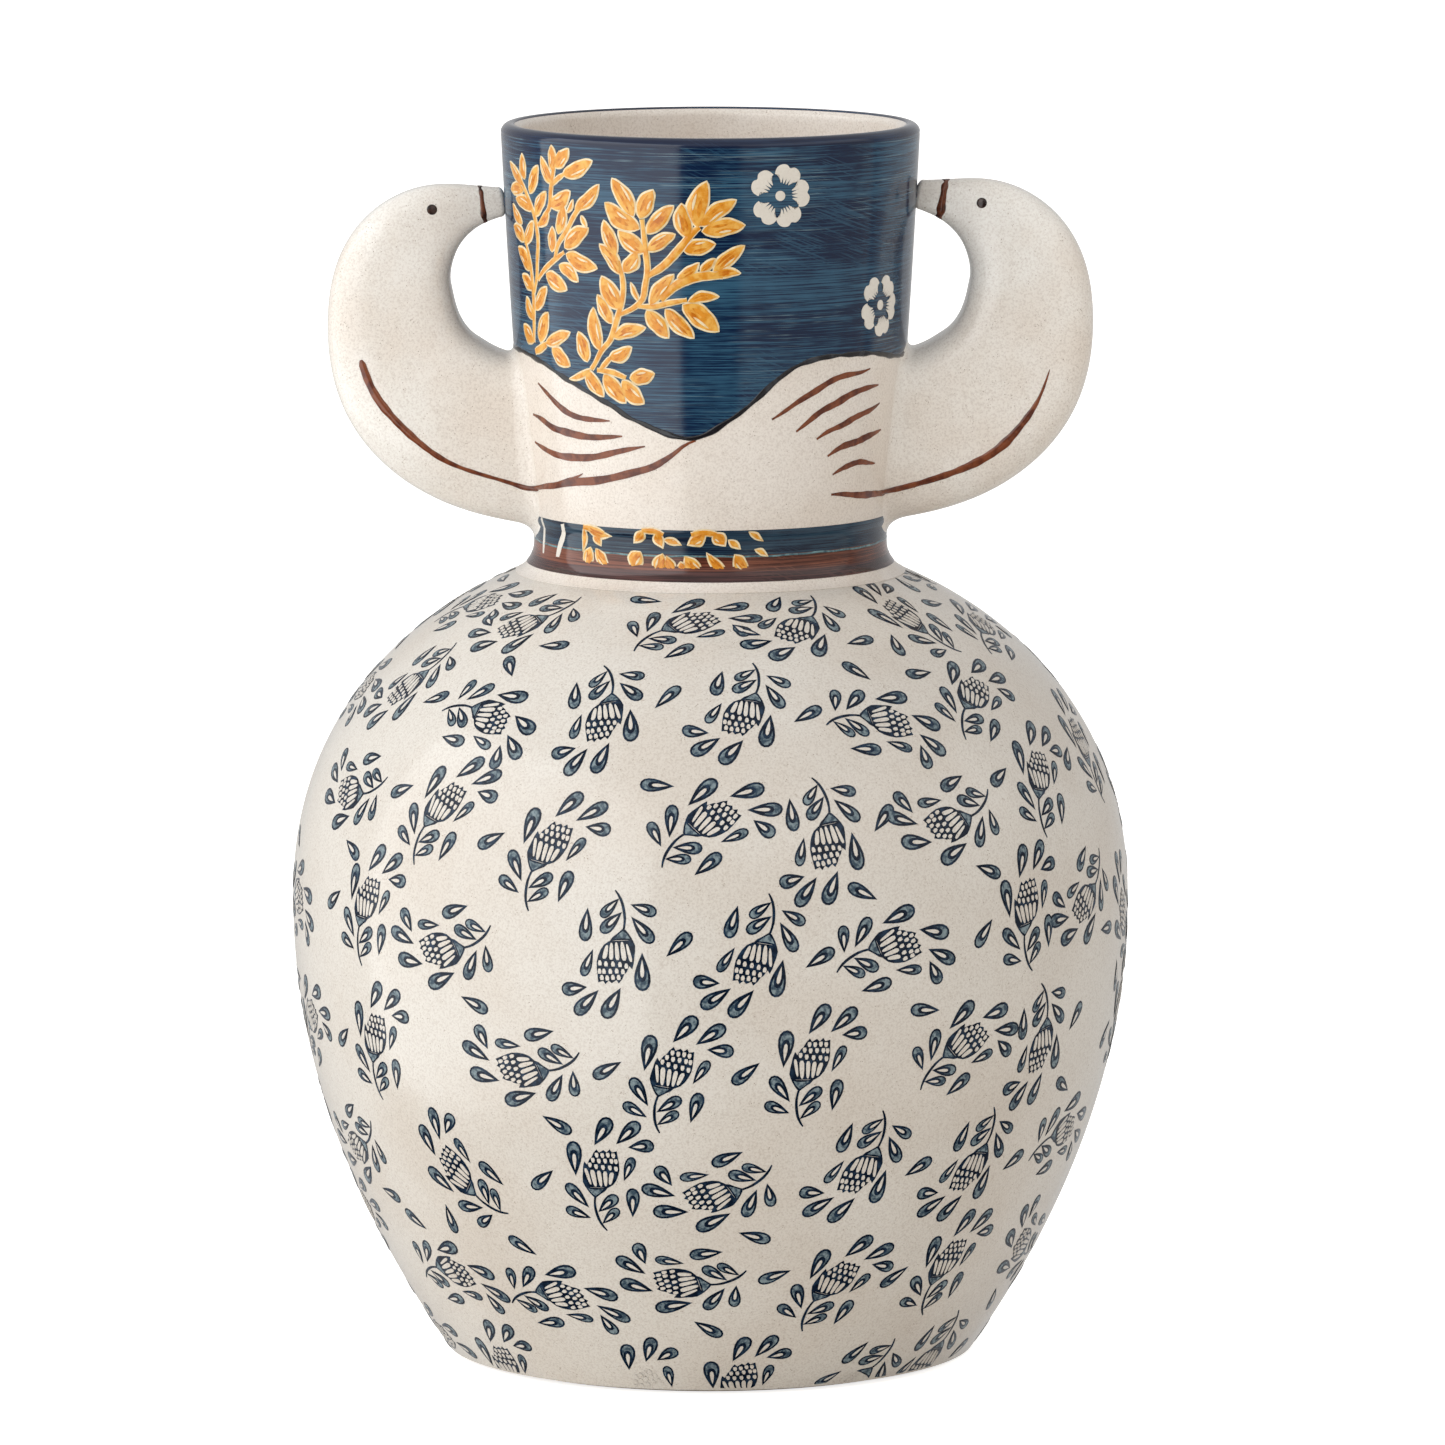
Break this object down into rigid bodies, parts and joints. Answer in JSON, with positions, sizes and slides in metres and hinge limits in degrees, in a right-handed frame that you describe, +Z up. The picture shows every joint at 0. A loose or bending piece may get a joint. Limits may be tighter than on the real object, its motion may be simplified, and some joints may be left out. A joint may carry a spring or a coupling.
{
  "type": "vase with bird handles",
  "caption": "Round-bellied glazed stoneware vase with a flared neck and a hollow bird on each side as a handle.",
  "frame": {"origin": "centre of the foot, on the surface that the vase stands on", "axes": "+Z up the vase's axis, +X to the right-hand bird, -Y to the painted front"},
  "size_m": [0.25, 0.25, 0.3686],
  "materials": {
    "cream_glaze": "glossy cream glaze with fine brown speckle and a blue sprig print",
    "blue_glaze": "glossy dark blue glaze with brush streaks",
    "bare_clay": "unglazed fired clay"
  },
  "bodies": {
    "root": {"belly": "cream_glaze", "foot_ring": "bare_clay", "neck": "blue_glaze", "shoulder_slip": "cream_glaze", "bird_handle_left": "cream_glaze", "bird_handle_right": "cream_glaze", "tail_slip_left": "cream_glaze", "tail_slip_right": "cream_glaze", "beak_slip_left": "blue_glaze", "beak_slip_right": "blue_glaze"}
  },
  "joints": []
}
